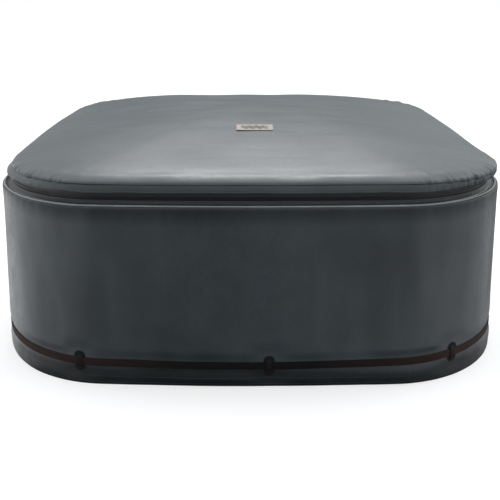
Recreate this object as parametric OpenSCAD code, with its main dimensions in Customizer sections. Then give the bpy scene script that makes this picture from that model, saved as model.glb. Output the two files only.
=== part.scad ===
// Spa cover: a fitted fabric cover for a square inflatable spa. A skirt hangs from the rim to the
// ground, a domed lid zips onto the rim on three sides and folds back at the rear, and a belt with a
// side-release buckle draws the skirt in near the hem.
// The front faces -Y. The origin is on the ground, under the middle of the cover.

/* [Plan] */
// Half of the width at the shoulder, where the skirt turns in to the rim
half_w = 1065; // [960:5:1200]
// Radius of the rounded corners
corner_r = 498; // [420:2:600]
// Radius of the slight outward bow of each side
side_r = 11080; // [8000:20:20000]
// How much further out the skirt stands at the ground than at the shoulder
flare = 27; // [10:1:40]

/* [Heights] */
// Shoulder, where the skirt turns in
shoulder_z = 690; // [640:5:720]
// Rim seam, under the welt
rim_z = 725; // [722:1:730]
// Middle of the zip
zip_z = 748; // [746:0.5:750]
// Seam between the lid's side band and its top panel
lid_seam_z = 806; // [804:1:812]
// Rise of the dome above the rolled edge of the lid
crown_h = 110; // [50:5:140]

/* [Fabric] */
// Thickness of the outer laminate
skin_t = 0.8; // [0.6:0.1:1.2]
// Thickness of the foam insulation
foam_t = 5; // [3:0.5:7]
// Thickness of the reflective inner lining
liner_t = 0.4; // [0.3:0.1:0.5]
// Radius of the welt cord at the rim
welt_r = 4.5; // [3:0.5:5]

/* [Belt] */
// Width of the belt webbing
belt_w = 32; // [25:1:38]
// Thickness of the belt webbing
belt_t = 1.4; // [1:0.1:1.6]
// Height of the middle of the belt
belt_z = 97; // [90:1:110]
// Number of belt loops round the skirt
loop_count = 10; // [10:1:10]
// Distance of the first belt loop to the right of the front middle
loop_shift = 75; // [60:5:90]

/* [Hose window] */
// Width of the window in the rear of the skirt
window_w = 420; // [300:10:440]
// Height of the window
window_h = 220; // [160:10:240]
// Height of the middle of the window
window_z = 265; // [255:5:280]

/* [Hidden] */
LOOP_NAMES = [for (i = [1:loop_count]) str("belt_loop_", i)];

// Steps of the outline round one corner.
corner_steps = 9;
fine_corner_steps = 24;
seam_gap = 0.2;

// Outline in plan. A heading is the direction that the wall faces: 0 is the front, 90 the right side,
// 180 the rear. Each side and each corner is an arc, and neighbouring arcs share their tangent.
side_k = side_r - half_w;
corner_c = (-side_k + sqrt(2 * pow(side_r - corner_r, 2) - side_k * side_k)) / 2;
bow = asin(corner_c / (side_r - corner_r));

function turned(p, a) = [p.x * cos(a) - p.y * sin(a), p.x * sin(a) + p.y * cos(a)];
function in_quarter(h) = h - 90 * floor(h / 90);
function arc_centre(h) = let (u = in_quarter(h))
    turned(u < bow ? [0, side_k] : u <= 90 - bow ? [corner_c, -corner_c] : [-side_k, 0],
           90 * floor(h / 90));
function arc_radius(h) = let (u = in_quarter(h)) u < bow || u > 90 - bow ? side_r : corner_r;
function plan(h, off) = arc_centre(h) + (arc_radius(h) + off) * [sin(h), -cos(h)];

// Steps along half a side, as shares of its turn: two of them are the edges of the hose window.
window_edge = 0.5 - window_w / 2 / side_r * 180 / PI / bow;
side_marks = [0, window_edge, 0.5, 1 - window_edge];
function headings(corner) = [for (q = [0:3]) each concat(
    [for (mark = side_marks) 90 * q + bow * mark],
    [for (i = [0:corner - 1]) 90 * q + bow + (90 - 2 * bow) * i / corner],
    [for (mark = side_marks) 90 * q + 90 - bow + bow * mark])];
function between(from, to, corner = corner_steps) = concat([from],
    [for (turn = [-360, 0, 360]) each
        [for (h = headings(corner)) if (h + turn > from + 0.01 && h + turn < to - 0.01) h + turn]],
    [to]);
function backwards(list) = [for (i = [len(list) - 1:-1:0]) list[i]];

// A profile point is [distance out from the outline, height, scale towards the middle].
function placed(h, p) = let (q = plan(h, p[0]), k = len(p) > 2 ? p[2] : 1) [q.x * k, q.y * k, p[1]];

// A sheet that follows the outline from one heading to another, between an outer and an inner profile.
module band(outer, inner, from = 0, to = 360, corner = corner_steps) {
    whole = to - from >= 360;
    ends = between(from, to, corner);
    count = len(ends) - (whole ? 1 : 0);
    profile = concat(outer, backwards(inner));
    n = len(outer);
    m = 2 * n;
    points = [for (i = [0:count - 1]) each [for (p = profile) placed(ends[i], p)]];
    sides = [for (i = [0:count - (whole ? 1 : 2)], j = [0:m - 1])
        [i * m + j, i * m + (j + 1) % m, (i + 1) % count * m + (j + 1) % m, (i + 1) % count * m + j]];
    last = (count - 1) * m;
    caps = whole ? [] : [for (j = [0:n - 2]) each [
        [j, m - 1 - j, m - 2 - j, j + 1],
        [last + j + 1, last + m - 2 - j, last + m - 1 - j, last + j]]];
    polyhedron(points, concat(sides, caps), convexity = 10);
}

// A domed sheet over the whole outline, from its lower edge to a small flat in the middle.
module dome(outer, inner) {
    ends = headings(corner_steps);
    count = len(ends);
    n = len(outer);
    rings = concat(outer, backwards(inner));
    points = [for (r = rings) each [for (h = ends) placed(h, r)]];
    sides = [for (r = [0:2 * n - 1], i = [0:count - 1]) if (r != n - 1)
        let (s = (r + 1) % (2 * n), j = (i + 1) % count)
        [r * count + i, s * count + i, s * count + j, r * count + j]];
    polyhedron(points, concat(sides, [
        [for (i = [count - 1:-1:0]) (n - 1) * count + i],
        [for (i = [0:count - 1]) n * count + i]]), convexity = 10);
}

// Distance round the belt's line to a heading.
wall_tilt = atan(flare / shoulder_z);
function wall_off(z) = flare * (1 - z / shoulder_z);
belt_off = wall_off(belt_z);
half_side = (side_r + belt_off) * bow * PI / 180;
corner_run = (corner_r + belt_off) * (90 - 2 * bow) * PI / 180;
quarter = 2 * half_side + corner_run;
function heading_at(s) = let (q = floor(s / quarter), u = s - q * quarter)
    90 * q + (u < half_side ? u / (side_r + belt_off) * 180 / PI
        : u < half_side + corner_run ? bow + (u - half_side) / (corner_r + belt_off) * 180 / PI
        : 90 - (quarter - u) / (side_r + belt_off) * 180 / PI);

// Children's X runs along the wall, Y up it and Z out of it.
module on_wall(h, z) {
    p = plan(h, wall_off(z));
    translate([p.x, p.y, z]) rotate([0, 0, h]) rotate([90 - wall_tilt, 0, 0]) children();
}
module upright(h, off, z) {
    p = plan(h, off);
    translate([p.x, p.y, z]) rotate([0, 0, h]) rotate([90, 0, 0]) children();
}

module capsule(w, h) {
    square([w, h - w], center = true);
    for (y = [-1, 1] * (h - w) / 2) translate([0, y]) circle(d = w, $fn = 48);
}
module rounded(w, h, r) {
    square([w - 2 * r, h], center = true);
    square([w, h - 2 * r], center = true);
    for (x = [-1, 1] * (w / 2 - r), y = [-1, 1] * (h / 2 - r))
        translate([x, y]) circle(r = r, $fn = 32);
}

// ---- Skirt -------------------------------------------------------------------------------------
rim_inset = 23;
shoulder_turn = [0:30:90];
function shoulder_profile(t) = [for (a = shoulder_turn)
    [-t - (rim_inset - t) * (1 - cos(a)), shoulder_z + (rim_z - shoulder_z - t) * sin(a)]];
function skirt_profile(t) = concat([[flare - t, 0]], shoulder_profile(t));
hem_h = 40;
function wall_sheet(t, from, to) = [[wall_off(from) - t, from], [wall_off(to) - t, to]];
FRONT = [-90, 90];
REAR = [90, 270];

window_heading = 180 - bow / 2;
module window_hole() {
    on_wall(window_heading, window_z) cube([window_w, window_h, 80], center = true);
}
module skirt_half(range) {
    color("#3d4649") band(skirt_profile(0), skirt_profile(skin_t), range[0], range[1]);
}
// Foam is cut in panels: two to each side and three to each corner.
foam_out = skin_t + seam_gap;
panel_joint = 0.5;
panel_starts = [for (q = [0:3]) each
    [90 * q, for (i = [0:3]) 90 * q + bow + (90 - 2 * bow) * i / 3]];
function panel_ends(h) = let (u = in_quarter(h), step = (90 - 2 * bow) / 3)
    h - u + (u < bow - 0.01 ? bow : u > 89.99 - bow ? 90 : u + step);
function along(h, mm) = h + mm / (arc_radius(h) * PI / 180);
module panels(outer, inner, starts) {
    for (h = starts)
        band(outer, inner, along(h + 0.001, panel_joint), along(panel_ends(h) - 0.001, -panel_joint));
}
window_panel = 180 - bow;
module skirt_foam(range) {
    inside = foam_out + foam_t;
    starts = [for (h = panel_starts) let (a = h > range[1] - 0.01 ? h - 360 : h)
        if (a > range[0] - 0.01 && abs(a - window_panel) > 0.01) a];
    color("#d8d8d4") panels(skirt_profile(foam_out), skirt_profile(inside), starts);
}
// The panel that the hose window is in: a strip on each side of the window, one above and one below.
module window_foam() {
    inside = foam_out + foam_t;
    left = window_side(window_w / 2);
    right = window_side(-window_w / 2);
    low = window_z - window_h / 2;
    high = window_z + window_h / 2;
    color("#d8d8d4") {
        band(skirt_profile(foam_out), skirt_profile(inside),
            along(window_panel + 0.001, panel_joint), right);
        band(skirt_profile(foam_out), skirt_profile(inside), left, along(180, -panel_joint));
        band(wall_sheet(foam_out, 0, low), wall_sheet(inside, 0, low),
            along(right, panel_joint), along(left, -panel_joint));
        band(concat([[wall_off(high) - foam_out, high]], shoulder_profile(foam_out)),
            concat([[wall_off(high) - inside, high]], shoulder_profile(inside)),
            along(right, panel_joint), along(left, -panel_joint));
    }
}
module skirt_liner(range) {
    out = skin_t + foam_t + 2 * seam_gap;
    color("#b9bdc0") band(skirt_profile(out), skirt_profile(out + liner_t), range[0], range[1]);
}
module hem_facing() {
    out = skin_t + foam_t + liner_t + 3 * seam_gap;
    color("#2e3537") band(wall_sheet(out, 0, hem_h), wall_sheet(out + skin_t, 0, hem_h));
}
module side_seam_tapes() {
    half_angle = 14 / side_r * 180 / PI;
    tape_t = 0.6;
    color("#39424a") for (h = [90, 270])
        band(wall_sheet(-seam_gap - tape_t, 4, shoulder_z), wall_sheet(-seam_gap, 4, shoulder_z),
            h - half_angle, h + half_angle);
}
module rim_welt() {
    welt_steps = 5;
    centre = [-rim_inset - 1, rim_z + welt_r + 0.3];
    arc = [for (i = [0:welt_steps]) 180 * i / welt_steps];
    color("#5c6668") band(
        [for (a = arc) centre + welt_r * [sin(a), -cos(a)]],
        [for (a = arc) centre + welt_r * [-sin(a) * 0.98 - 0.02, -cos(a) * 0.96]]);
}

// ---- Zip ---------------------------------------------------------------------------------------
zip_off = -41.2;
tooth_t = 2.6;
tooth_h = 5.6;
half_gap = 0.8;
zip_tape_t = 0.8;
zip_end = 180 - bow - (90 - 2 * bow) / corner_steps;
tape_out = zip_off - tooth_t / 2 - 0.1;
// Depth of the band's lower edge, where the tape is sewn behind it.
band_foot = [zip_off - 1.3, 762];

module neck(top_z) {
    outer = [[-30, rim_z + 1], [-37, rim_z + 6], [tape_out, zip_z - 10], [tape_out, top_z]];
    inner = [for (p = outer) [p[0] - zip_tape_t, p[1] + (p[1] < zip_z - 12 ? 0.4 : 0)]];
    band(outer, inner, $from, $to);
}
module hinge_strip() {
    $from = zip_end;
    $to = 360 - zip_end;
    color("#333b3e") neck(zip_z + 7);
}
module zip_lower_tape() {
    $from = -zip_end;
    $to = zip_end;
    color("#22282a") neck(zip_z - half_gap);
}
// Padded strip inside the zip, which keeps its teeth off the spa.
guard_off = zip_off - 5;
guard_t = 2.5;
module zip_guard() {
    top_z = zip_z + 10;
    color("#4b5356") panels([[guard_off, rim_z + 2], [guard_off, top_z]],
        [[guard_off - guard_t, rim_z + 2], [guard_off - guard_t, top_z]], panel_starts);
}
module teeth(bottom, top) {
    out = zip_off + tooth_t / 2;
    color("#1c2022") band([[out, bottom], [out, top]], [[out - tooth_t, bottom], [out - tooth_t, top]],
        -zip_end, zip_end);
}
module zip_lower_teeth() { teeth(zip_z - half_gap - tooth_h, zip_z - half_gap); }
module zip_upper_teeth() { teeth(zip_z + half_gap, zip_z + half_gap + tooth_h); }
module zip_upper_tape() {
    back = band_foot[0] - skin_t - 0.1;
    outer = [[tape_out, zip_z + half_gap], [tape_out, zip_z + 9], [back, band_foot[1] - 1],
             [back, band_foot[1] + 6]];
    color("#22282a") band(outer, [for (p = outer) p - [zip_tape_t, 0]], -zip_end, zip_end);
}
module zip_end_stops() {
    stop = [7, 8, tooth_t];
    color("#8d9295") for (side = [-1, 1])
        upright(side * (zip_end + 0.55), zip_off, zip_z - half_gap - stop.y / 2)
            cube(stop, center = true);
}

slider_heading = 90 + 500 / (side_r + zip_off) * 180 / PI;
plate_l = 24;
plate_w = 15;
pull_level = 4.6;
module zip_slider() {
    front_z = 1.7;
    back_z = -4.9;
    plate_t = 1.5;
    crown_x = 6;
    color("#9a9ea0") upright(slider_heading, zip_off, zip_z) {
        for (z = [front_z, back_z])
            translate([0, 0, z]) linear_extrude(plate_t) rounded(plate_l, plate_w, 4);
        translate([0, 0, (front_z + back_z + plate_t) / 2])
            cube([8, half_gap, front_z - back_z + plate_t], center = true);
        difference() {
            translate([-crown_x, -1.5, front_z + plate_t]) cube([2 * crown_x, 3, 4.2]);
            translate([1.6 - crown_x, -2, front_z + plate_t]) cube([2 * (crown_x - 1.6), 4, 2.6]);
        }
    }
}
module zip_pull() {
    arm_y = 3.4;
    color("#9a9ea0") upright(slider_heading, zip_off, zip_z) translate([0, 0, pull_level]) {
        rotate([90, 0, 0]) cylinder(r = 0.9, h = 2 * arm_y, center = true, $fn = 24);
        for (side = [-1, 1]) translate([4, side * arm_y, 0]) cube([9.8, 1.8, 1.8], center = true);
        difference() {
            translate([8, -5.5, -0.9]) cube([24, 11, 1.8]);
            translate([26, 0, -2]) cylinder(r = 2, h = 4, $fn = 32);
        }
        translate([32, 0, -0.9]) cylinder(r = 5.5, h = 1.8, $fn = 48);
    }
}

// ---- Lid ---------------------------------------------------------------------------------------
lid_foot = -29;
roll_w = 60;
roll_h = 19;
roll_turn = [0, 17, 34, 52];
dome_scales = [0.92, 0.76, 0.54, 0.28, 0.04];
dome_power = 2.2;
roll_z = lid_seam_z + 1;
function roll_normal(a) = [roll_h * cos(a), roll_w * sin(a)] / norm([roll_h * cos(a), roll_w * sin(a)]);
function roll_point(a, t) =
    [lid_foot - roll_w + roll_w * cos(a), roll_z + roll_h * sin(a)] - t * roll_normal(a);
dome_foot = roll_point(52, 0);
function dome_rise(k) = crown_h * (1 - pow(k, dome_power));
function roll_profile(t) = [for (a = roll_turn) roll_point(a, t)];
function crown_profile(t, foot, scales) =
    [for (k = scales) [foot, dome_foot[1] + dome_rise(k) - 1.02 * t, k]];
function lid_profile(t, edge_z) = concat([[lid_foot - t, edge_z]], roll_profile(t),
    crown_profile(t, dome_foot[0], dome_scales));

module lid_panel() {
    low = lid_seam_z - 2;
    color("#6b7477") dome(lid_profile(0, low), lid_profile(skin_t, low));
}
module lid_foam() {
    scales = concat([0.997], dome_scales);
    foot = dome_foot[0];
    color("#d8d8d4") dome(crown_profile(foam_out, foot, scales),
        crown_profile(foam_out + foam_t, foot, scales));
}
module lid_edge_foam() {
    outer = [[band_foot[0] - 2.6, 765], [zip_off - 1.2, 780], [zip_off + 1.5, lid_seam_z - 2]];
    color("#d8d8d4") {
        panels(outer, [for (p = outer) p - [foam_t, 0]], panel_starts);
        panels(roll_profile(foam_out), roll_profile(foam_out + foam_t), panel_starts);
    }
}
module lid_liner() {
    out = skin_t + foam_t + 2 * seam_gap;
    low = lid_seam_z;
    color("#b9bdc0") dome(lid_profile(out, low), lid_profile(out + liner_t, low));
}
module lid_band() {
    outer = [band_foot, [zip_off + 0.3, 780], [-36.5, 795], [lid_foot - skin_t - 0.3, roll_z - 0.2]];
    color("#2b3234") band(outer, [for (p = outer) p - [skin_t, 0]]);
}
module weather_flap() {
    outer = [[-23.5, 777], [-24.5, 790], [-26.5, 802], [lid_foot + 1.2, roll_z]];
    color("#474f52") band(outer, [for (p = outer) p - [skin_t, 0]], -zip_end, zip_end);
}

badge_x = 20;
badge_y = -480;
badge_size = [160, 85];
module lid_badge() {
    reach = half_w + dome_foot[0];
    k = -badge_y / reach;
    slope = atan(crown_h * dome_power * pow(k, dome_power - 1) / reach);
    color("#c9bfb2") translate([badge_x, badge_y, dome_foot[1] + dome_rise(k) + 0.6])
        rotate([slope, 0, 0]) linear_extrude(1) rounded(badge_size.x, badge_size.y, 8);
}

// ---- Belt --------------------------------------------------------------------------------------
belt_gap = 1.6;
loop_size = [45, 85];
buckle_heading = 180 + 0.75 * bow;
function buckle_side(x) = buckle_heading + x / (side_r + belt_off) * 180 / PI;

module strap_profile(from, to, gap) {
    low = belt_z - belt_w / 2;
    high = belt_z + belt_w / 2;
    band([[wall_off(low) + gap + belt_t, low], [wall_off(high) + gap + belt_t, high]],
         [[wall_off(low) + gap, low], [wall_off(high) + gap, high]], from, to, fine_corner_steps);
}
module belt_webbing() {
    color("#3a2b26") strap_profile(buckle_side(20), buckle_side(-15) + 360, belt_gap);
}
// An arch over a strap: feet on the wall above and below it, and a bridge between them.
module arch(width, half_span, foot, foot_z, under, over) {
    reach = half_span + foot;
    rotate([90, 0, 90]) linear_extrude(width, center = true) polygon([
        [-reach, foot_z], [-half_span - 1, foot_z], [-half_span + 2, under], [half_span - 2, under],
        [half_span + 1, foot_z], [reach, foot_z], [reach - 5, foot_z + 1.2], [half_span, over],
        [-half_span, over], [-reach + 5, foot_z + 1.2]]);
}
// The two loops beside the front middle one are sewn a little closer to it.
loop_nudge = 22;
function loop_place(i) = loop_shift + i * 4 * quarter / loop_count
    + (i == 1 ? -loop_nudge : i == loop_count - 1 ? loop_nudge : 0);
module belt_loop(i) {
    patch_t = 0.5;
    clear = belt_gap + belt_t + 0.5;
    color("#3b3638") on_wall(heading_at(loop_place(i)), belt_z) {
        translate([0, 0, seam_gap]) linear_extrude(patch_t) capsule(loop_size.x, loop_size.y);
        arch(19, belt_w / 2 + 4, 14, seam_gap + patch_t, clear, clear + 1.3);
    }
}
tail_gap = belt_gap + belt_t + 0.5;
module strap_keeper() {
    clear = tail_gap + belt_t + 2;
    color("#3b3638") on_wall(buckle_side(-150), belt_z)
        arch(14, belt_w / 2 + 4, 10, seam_gap, clear, clear + 1.3);
}

// Buckle, in the wall's own axes at its heading: the socket reaches +X and the plug comes from -X.
shell_t = 10;
buckle_w = 44;
module at_buckle() { on_wall(buckle_heading, belt_z) translate([0, 0, tail_gap]) children(); }
module buckle_socket() {
    color("#1d1f20") at_buckle() difference() {
        translate([20, 0, 0]) linear_extrude(shell_t) rounded(38, buckle_w, 5);
        translate([-1, -buckle_w / 2 - 1, 1.6]) cube([27, buckle_w + 2, shell_t - 3.2]);
        translate([32, 0, -1]) linear_extrude(shell_t + 2) square([5, 34], center = true);
    }
}
module buckle_plug() {
    color("#1d1f20") at_buckle() {
        difference() {
            translate([-17.5, 0, 0]) linear_extrude(shell_t) rounded(34, buckle_w, 5);
            translate([-29.5, -17, -1]) cube([20, 34, shell_t + 2]);
            translate([-40, -17, -1]) cube([12, 34, 3.6]);
        }
        translate([-23, -18, 3.2]) cube([5, 36, 4]);
        translate([-2, -4, 2.4]) cube([20, 8, shell_t - 4.8]);
    }
}
arm_root = [0.4, 12];
arm_t = 4;
// One sprung arm: side 1 is above the guide, side -1 below it.
module buckle_arm(side) {
    tip_r = 4.4;
    color("#26292b") at_buckle() mirror([0, side > 0 ? 0 : 1, 0])
        translate([arm_root.x, arm_root.y, (shell_t - 5.2) / 2]) linear_extrude(5.2) {
            translate([0, -arm_t / 2]) square([18, arm_t]);
            translate([18, 1]) circle(r = tip_r, $fn = 48);
            translate([12, 1]) square([6, tip_r]);
        }
}
module buckle_arm_upper() { buckle_arm(1); }
module buckle_arm_lower() { buckle_arm(-1); }
module belt_tail() {
    tail_l = 176;
    color("#3a2b26") at_buckle()
        translate([-14 - tail_l, -belt_w / 2, 0]) cube([tail_l, belt_w, belt_t]);
}

// ---- Hose window and its flap ------------------------------------------------------------------
edge_w = 12;
flap_side = 32;
flap_gap = 3.2;
flap_t = 1;
flap_top = window_z + window_h / 2 + 22;
flap_bottom = window_z - window_h / 2 - 34;
function window_side(x) = window_heading + x / side_r * 180 / PI;
// A panel on the wall, between two distances along it and two heights, from one gap to another.
module wall_panel(x1, x2, z1, z2, gap, t) {
    band(wall_sheet(-gap - t, z1, z2), wall_sheet(-gap, z1, z2), window_side(x1), window_side(x2));
}
module window_binding() {
    reach_x = window_w / 2 + edge_w;
    reach_z = window_h / 2 + edge_w;
    color("#2e3537") difference() {
        wall_panel(-reach_x, reach_x, window_z - reach_z, window_z + reach_z, seam_gap, 0.8);
        window_hole();
    }
}
module side_tapes(gap, t) {
    in_x = window_w / 2 + edge_w + 1;
    low = window_z - window_h / 2 - edge_w - 1;
    for (side = [-1, 1]) {
        x1 = side > 0 ? in_x : -in_x - flap_side + 14;
        wall_panel(x1, x1 + flap_side - 14, low, window_z + window_h / 2 + 10, gap, t);
    }
    wall_panel(-in_x, in_x, low - 18, low - 0.5, gap, t);
}
module window_loop_tape() { color("#1f2325") side_tapes(seam_gap, 1.2); }
module flap_hook_tape() { color("#1f2325") side_tapes(1.8, 1.2); }
module hose_flap() {
    reach_x = window_w / 2 + edge_w + 20;
    color("#3d4649") wall_panel(-reach_x, reach_x, flap_bottom, flap_top, flap_gap, flap_t);
}
module flap_header() {
    reach_x = window_w / 2 + edge_w + 20;
    color("#343c3f") wall_panel(-reach_x, reach_x, flap_top + 1, flap_top + 16, seam_gap, flap_t);
}
module flap_pull_tab() {
    tab_gap = flap_gap + flap_t + seam_gap;
    color("#3a2b26") wall_panel(-14, 14, flap_bottom - 26, flap_bottom + 14, tab_gap, 1.4);
}

skirt_half(FRONT);  // skirt_front
difference() { skirt_half(REAR); window_hole(); }  // skirt_rear
skirt_foam(FRONT);  // skirt_foam_front
union() { skirt_foam(REAR); window_foam(); }  // skirt_foam_rear
skirt_liner(FRONT);  // skirt_liner_front
difference() { skirt_liner(REAR); window_hole(); }  // skirt_liner_rear
hem_facing();
side_seam_tapes();
rim_welt();
hinge_strip();
zip_lower_tape();
zip_lower_teeth();
zip_end_stops();
zip_guard();
zip_slider();
zip_pull();
lid_panel();
lid_foam();
lid_edge_foam();
lid_liner();
lid_band();
weather_flap();
zip_upper_tape();
zip_upper_teeth();
lid_badge();
belt_webbing();
strap_keeper();
buckle_socket();
buckle_plug();
buckle_arm_upper();
buckle_arm_lower();
belt_tail();
window_binding();
window_loop_tape();
flap_header();
hose_flap();
flap_hook_tape();
flap_pull_tab();
for (i = [0:loop_count - 1]) belt_loop(i);
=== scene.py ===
import math

import bpy
import numpy as np
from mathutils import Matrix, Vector


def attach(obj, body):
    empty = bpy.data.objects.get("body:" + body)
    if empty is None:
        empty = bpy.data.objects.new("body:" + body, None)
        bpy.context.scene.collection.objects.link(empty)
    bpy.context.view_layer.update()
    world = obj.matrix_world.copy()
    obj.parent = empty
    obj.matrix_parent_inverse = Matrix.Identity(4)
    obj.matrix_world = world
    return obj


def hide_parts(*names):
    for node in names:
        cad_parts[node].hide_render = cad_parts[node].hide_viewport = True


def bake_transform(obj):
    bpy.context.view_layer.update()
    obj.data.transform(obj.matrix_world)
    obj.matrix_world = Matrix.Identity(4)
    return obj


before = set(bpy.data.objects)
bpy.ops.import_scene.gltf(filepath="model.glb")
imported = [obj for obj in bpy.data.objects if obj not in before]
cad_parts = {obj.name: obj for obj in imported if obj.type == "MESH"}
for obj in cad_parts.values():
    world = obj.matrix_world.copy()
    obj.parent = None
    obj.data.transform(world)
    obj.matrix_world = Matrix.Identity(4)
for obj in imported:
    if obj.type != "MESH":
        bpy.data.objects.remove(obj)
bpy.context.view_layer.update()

# ---- Outline of the cover, in metres. s runs round it from the front middle, towards the right side.
HALF_W, CORNER_R, SIDE_R, FLARE = 1.065, 0.498, 11.08, 0.027
SHOULDER_Z, RIM_Z, RIM_INSET = 0.690, 0.725, 0.023
SIDE_K = SIDE_R - HALF_W
CORNER_C = (-SIDE_K + math.sqrt(2 * (SIDE_R - CORNER_R) ** 2 - SIDE_K ** 2)) / 2
BOW = math.asin(CORNER_C / (SIDE_R - CORNER_R))
HALF_SIDE = SIDE_R * BOW
CORNER_RUN = CORNER_R * (math.pi / 2 - 2 * BOW)
QUARTER = 2 * HALF_SIDE + CORNER_RUN
ROUND = 4 * QUARTER


def heading(s):
    """Direction that the wall faces at s, in radians: 0 in front, pi / 2 on the right side."""
    s = np.asarray(s, float)
    q = np.floor(s / QUARTER)
    u = s - q * QUARTER
    h = np.where(u < HALF_SIDE, u / SIDE_R,
                 np.where(u < HALF_SIDE + CORNER_RUN, BOW + (u - HALF_SIDE) / CORNER_R,
                          math.pi / 2 - (QUARTER - u) / SIDE_R))
    return q * math.pi / 2 + h


def plan(h, off):
    """The point of the outline with heading h, moved out by off."""
    h, off = np.broadcast_arrays(np.asarray(h, float), np.asarray(off, float))
    q = np.floor(h / (math.pi / 2) + 1e-12)
    u = h - q * math.pi / 2
    side_a, side_b = u < BOW, u > math.pi / 2 - BOW
    cx = np.where(side_a, 0.0, np.where(side_b, -SIDE_K, CORNER_C))
    cy = np.where(side_a, SIDE_K, np.where(side_b, 0.0, -CORNER_C))
    r = np.where(side_a | side_b, SIDE_R, CORNER_R) + off
    a = q * math.pi / 2
    return np.stack([cx * np.cos(a) - cy * np.sin(a) + r * np.sin(h),
                     cx * np.sin(a) + cy * np.cos(a) - r * np.cos(h)], -1)


def place(s, off, z, k=1.0):
    """Points off outside the outline at s and height z, with the plan scaled by k."""
    xy = plan(heading(s), off) * np.asarray(k)[..., None]
    return np.concatenate([xy, np.broadcast_to(z, xy.shape[:-1])[..., None]], -1)


def wall_off(z):
    """How far the flared wall stands outside the outline at height z."""
    return FLARE * (1 - np.asarray(z) / SHOULDER_Z)


def smooth(x, a, b):
    """0 at a, 1 at b, eased in between."""
    t = np.clip((np.asarray(x, float) - a) / (b - a), 0, 1)
    return t * t * (3 - 2 * t)


def ripple(seed, count, waves, rises, power=1.0):
    """A smooth random field over s and height, between -1 and 1.

    waves is the range of its waves round the cover, rises that of its turns per metre of height."""
    rng = np.random.default_rng(seed)
    n = rng.integers(waves[0], waves[1] + 1, count)
    kz = rng.uniform(rises[0], rises[1], count) * rng.choice([-1, 1], count)
    phase = rng.uniform(0, 2 * math.pi, count)
    size = (1.0 / n) ** power
    size = size / np.sqrt((size ** 2).sum() / 2) / 1.6

    def field(s, z=0.0):
        s, z = np.broadcast_arrays(np.asarray(s, float), np.asarray(z, float))
        out = np.zeros(s.shape)
        for i in range(count):
            out += size[i] * np.cos(2 * math.pi * n[i] * s / ROUND + kz[i] * z + phase[i])
        return np.tanh(out)
    return field


def hump(x, centre, width):
    """1 at the centre, falling away over width."""
    return np.exp(-((x - centre) / width) ** 2)


def away(s, centre):
    """Distance round the outline between s and centre."""
    return np.abs(np.mod(np.asarray(s, float) - centre + ROUND / 2, ROUND) - ROUND / 2)


def near(s, centre, width):
    """1 where s is at the centre, falling away along the outline over width."""
    return hump(away(s, centre), 0.0, width)


def corner_middle(s, width):
    """1 at the middle of each corner, falling away over width."""
    return hump(np.mod(np.asarray(s, float), QUARTER), QUARTER / 2, width)


def stations(side_step, corner_step, extra=(), start=0.0, end=ROUND):
    """Places along the outline, closer at the corners, with one at each place where a side ends."""
    marks = []
    for q in range(4):
        a, b = q * QUARTER, (q + 1) * QUARTER
        marks += [a, a + HALF_SIDE, b - HALF_SIDE]
    marks = sorted(set([m for m in marks if start < m < end] + [start, end]
                       + [e for e in extra if start < e < end]))
    out = []
    for a, b in zip(marks[:-1], marks[1:]):
        u = (a + b) / 2 % QUARTER
        step = side_step if u < HALF_SIDE or u > QUARTER - HALF_SIDE else corner_step
        out += list(np.linspace(a, b, max(2, int(math.ceil((b - a) / step)) + 1))[:-1])
    return np.array(out + [end])


# ---- Mesh helpers
def flow(p, closed):
    """Unit normals of a grid of points, from its neighbours."""
    du = np.gradient(p, axis=0)
    if closed:
        du[0], du[-1] = p[1] - p[-1], p[0] - p[-2]
    dv = np.gradient(p, axis=1)
    n = np.cross(du, dv)
    return n / np.maximum(np.linalg.norm(n, axis=-1, keepdims=True), 1e-12)


def build(name, points, faces, loops_uv, material, angle=48):
    """A piece from points and faces; edges sharper than angle, in degrees, are shown sharp."""
    mesh = bpy.data.meshes.new(name)
    mesh.from_pydata(points.tolist(), [], faces)
    if loops_uv is not None:
        layer = mesh.uv_layers.new(name="UVMap")
        layer.data.foreach_set("uv", np.asarray(loops_uv, np.float32).ravel())
    mesh.polygons.foreach_set("use_smooth", np.ones(len(mesh.polygons), bool))
    mesh.set_sharp_from_angle(angle=math.radians(angle))
    obj = bpy.data.objects.new(name, mesh)
    bpy.context.scene.collection.objects.link(obj)
    mesh.materials.append(material)
    return obj


def over_join(coordinate, full):
    """Carries a map coordinate of the faces on past a closed piece's join, by full."""
    jump = (coordinate.max(1) - coordinate.min(1)) > full / 2
    coordinate[jump] += np.where(coordinate[jump] < full / 2, full, 0)


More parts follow.
